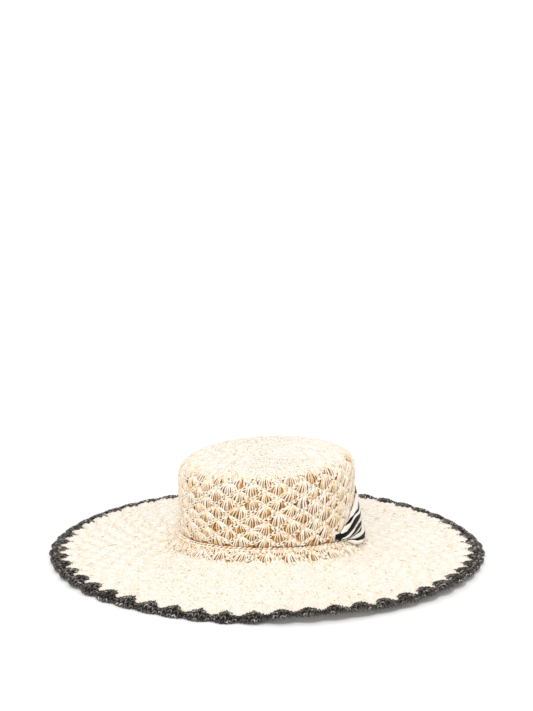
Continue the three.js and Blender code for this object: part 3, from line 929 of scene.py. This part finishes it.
def make_scarf():
    """The band from eyelet to eyelet, drawn together and pleated at each."""
    bm = bmesh.new()
    bm.loops.layers.uv.new("UVMap")
    bmesh.ops.create_grid(bm, x_segments=SCARF_GRID[0], y_segments=SCARF_GRID[1], size=0.5,
                          calc_uvs=True)
    printed = bm.verts.layers.float.new("print")
    for v in bm.verts:
        along, across = v.co.x + 0.5, v.co.y + 0.5
        along = lerp(along, 0.5 - 0.5 * math.cos(math.pi * along), SCARF_CROWD)
        degrees = lerp(EYELETS[0] + SCARF_START, EYELETS[1] - SCARF_START, along)
        arc = min(degrees - EYELETS[0], EYELETS[1] - degrees)
        heading = math.radians(degrees)
        v[printed] = print_place(across, arc)
        past, lift = scarf_section(across, arc, heading)
        v.co = seat(heading, past, lift) * MM
    bm.normal_update()
    if sum(f.normal.dot(f.calc_center_median()) for f in bm.faces) < 0:
        bmesh.ops.reverse_faces(bm, faces=bm.faces)
    for f in bm.faces:
        f.smooth = True
    mesh = bpy.data.meshes.new("scarf_band")
    bm.to_mesh(mesh)
    bm.free()
    piece = make_piece("scarf_band", mesh)
    wall = piece.modifiers.new("cloth", "SOLIDIFY")
    wall.thickness = SCARF_THICK * MM
    wall.offset = -1
    return piece


def make_knots():
    """The two ends of the band, each tied in a creased knot behind its eyelet inside the crown."""
    bm = bmesh.new()
    printed = bm.verts.layers.float.new("print")
    for degrees in EYELETS:
        middle = polar(CROWN_RADIUS - FABRIC - KNOT_RADIUS, math.radians(degrees), EYELET_HEIGHT)
        ball = bmesh.ops.create_icosphere(bm, subdivisions=4, radius=KNOT_RADIUS * MM,
                                          matrix=Matrix.Translation(middle * MM))
        for v in ball["verts"]:
            out = (v.co / MM - middle).normalized()
            crease = math.sin(KNOT_CREASES * math.atan2(out.y, out.x) + KNOT_TWIST * out.z)
            v.co += out * crease * KNOT_CREASE * MM
            v[printed] = (out.z + KNOT_TILT * out.x) * KNOT_RADIUS / KNOT_STRIPE
    for f in bm.faces:
        f.smooth = True
    mesh = bpy.data.meshes.new("scarf_knots")
    bm.to_mesh(mesh)
    bm.free()
    return make_piece("scarf_knots", mesh)


def make_floor():
    bm = bmesh.new()
    bmesh.ops.create_grid(bm, x_segments=1, y_segments=1, size=FLOOR_HALF)
    mesh = bpy.data.meshes.new("floor")
    bm.to_mesh(mesh)
    bm.free()
    floor = bpy.data.objects.new("floor", mesh)
    bpy.context.scene.collection.objects.link(floor)
    floor.data.materials.append(plain_white("white studio paper"))


def add_sun(name, energy, spread, tilt, turn):
    """A distant light: degrees of spread, of tilt from straight down and of turn to the side."""
    lamp = bpy.data.lights.new(name, "SUN")
    lamp.energy = energy
    lamp.angle = math.radians(spread)
    light = bpy.data.objects.new(name, lamp)
    light.rotation_euler = (math.radians(tilt), 0.0, math.radians(turn))
    bpy.context.scene.collection.objects.link(light)


def make_lights():
    world = bpy.data.worlds.new("studio")
    world.use_nodes = True
    sky = world.node_tree.nodes["Background"]
    sky.inputs["Color"].default_value = linear("#FEFDFB")
    sky.inputs["Strength"].default_value = 0.84
    bpy.context.scene.world = world
    add_sun("overhead", energy=1.0, spread=6, tilt=30, turn=-5)
    add_sun("front fill", energy=0.75, spread=40, tilt=74, turn=-8)
    bpy.context.scene.view_settings.view_transform = "Standard"


def make_camera():
    lens = bpy.data.cameras.new("camera")
    lens.sensor_width = SENSOR
    lens.lens = FOCAL_PIXELS * SENSOR / PHOTO_HEIGHT
    camera = bpy.data.objects.new("camera", lens)
    back = CAMERA_DISTANCE * math.cos(CAMERA_ELEVATION)
    up = CAMERA_DISTANCE * math.sin(CAMERA_ELEVATION) + CAMERA_RAISE
    camera.location = (CAMERA_OFFSET, -back, up)
    camera.rotation_euler = (math.pi / 2 - CAMERA_PITCH, 0, 0)
    bpy.context.scene.collection.objects.link(camera)
    bpy.context.scene.camera = camera


make_camera()
make_floor()
make_lights()

# Its root colour tans random patches and paints shade at the strands' ends
natural = raffia("natural raffia, twisted and crocheted",
                 shades=[(0.0, "#F5F2ED"), (0.15, "#F8F2E7"), (0.5, "#F5E5CB"), (1.0, "#E2BC84")],
                 streak=[(0.3, "#F8F0E4"), (0.6, "#FFFFFF")],
                 root="#E0BC80", roughness=0.62)
# Dark brown to near black: painted shade deep in the gaps of the wall and of the crown's foot
wall_gaps = shadowed_raffia("natural raffia in the wall's gaps",
                            [(0.38, "#3A2410"), (0.46, "#A8763A"), (0.62, "#CC9C5C")])
brim_gaps = shadowed_raffia("natural raffia in the brim's gaps",
                            [(0.36, "#E2B470"), (0.42, "#F8F0E0")])
# Here shade 1 is the lightest; near-white strands are painted highlights on the dark dye
charcoal = raffia("charcoal dyed raffia, twisted and crocheted",
                  shades=[(0.0, "#100E0D"), (0.5, "#6A645F"), (0.78, "#B2ABA5"), (1.0, "#FEFAF6")],
                  streak=[(0.3, "#8A837E"), (0.65, "#FFFFFF")],
                  root="#6A6460", roughness=0.5)
# Near black: painted shade deep in the gaps of the edging
charcoal_gap_shade = shadowed_raffia("charcoal raffia in the gaps, darkened as painted shade",
                                [(0.3, "#060505"), (0.6, "#141110")])
zebra = zebra_cloth("printed satin, zebra stripes")


# Stitches of the crown and the brim
for piece in crochet_rounds(["tip_stitches", "wall_stitches"], on_crown, crown_radius_at,
                            pitch=ROW_PITCH, limit=CROWN_RUN - WALL_STOP, shells=CROWN_SHELLS,
                            shift=0.0, tones=CROWN_SHADES, pale=pale_crown):
    dress(piece, natural, "crown")
brim_pitch = (run_at(FOOT_RADIUS) - FIRST_RUN) / (len(BRIM_SHELLS) - 0.5)
for piece in crochet_rounds(["brim_stitches_inner", "brim_stitches_middle", "brim_stitches_outer"],
                            on_brim, brim_radius, pitch=brim_pitch, limit=run_at(EDGING_RADIUS),
                            shells=BRIM_SHELLS, shift=0.5, tones=BRIM_SHADES, pale=pale_brim):
    dress(piece, natural, "brim")

# Sheets under them, seen in the gaps and from underneath; the dark ones are painted shade
tip_end = FLAT + TIP_GROUND_END
tip_runs = evenly(POLE, tip_end + POLE, steps=30)
tip_ground = spin_sheet("tip_ground", tip_runs, on_crown, lift=0.0)
dress(tip_ground, brim_gaps, "crown")
wall_runs = evenly(tip_end, CROWN_RUN + WALL_GROUND_END, steps=24)
wall_ground = spin_sheet("wall_ground", wall_runs, on_crown, lift=-0.8)
dress(wall_ground, wall_gaps, "crown", inside=brim_gaps)
# By the crown's foot the sheet takes the wall's dark shades: painted shade under the crown
foot_runs = evenly(0.0, BRIM_GROUND_START, steps=9)
foot_ground = spin_sheet("brim_foot_ground", foot_runs, on_brim, lift=-0.5)
dress(foot_ground, wall_gaps, "brim", inside=brim_gaps)
brim_runs = evenly(BRIM_GROUND_START, run_at(NECK_RADIUS), steps=36)
brim_ground = spin_sheet("brim_ground", brim_runs, on_brim, lift=-0.2)
dress(brim_ground, brim_gaps, "brim")

dress(make_rib(), natural, "brim")
brim_fibres = make_fibres("brim_fibres", on_brim, brim_radius,
                          runs=(BRIM_FIBRES_START, run_at(FOOT_RADIUS)), number=BRIM_FIBRES)
dress(brim_fibres, natural, "brim")
tip_fibres = make_fibres("tip_fibres", on_crown, crown_radius_at,
                         runs=(TIP_FIBRES_START, FLAT + TIP_FIBRES_END), number=TIP_FIBRES)
dress(tip_fibres, natural, "crown")

dress(make_edging(), charcoal, "edging")
# The edging's sheet, near black: painted shade under its stitches
edging_runs = evenly(*EDGING_GROUND, steps=4)
edging_ground = spin_sheet("edging_ground", edging_runs, on_shell, lift=-0.9,
                           around=8 * RIM_SHELLS)
dress(edging_ground, charcoal_gap_shade, "edging")

scarf = make_scarf()
dress(scarf, zebra, "scarf")
dress(make_knots(), zebra, "scarf")
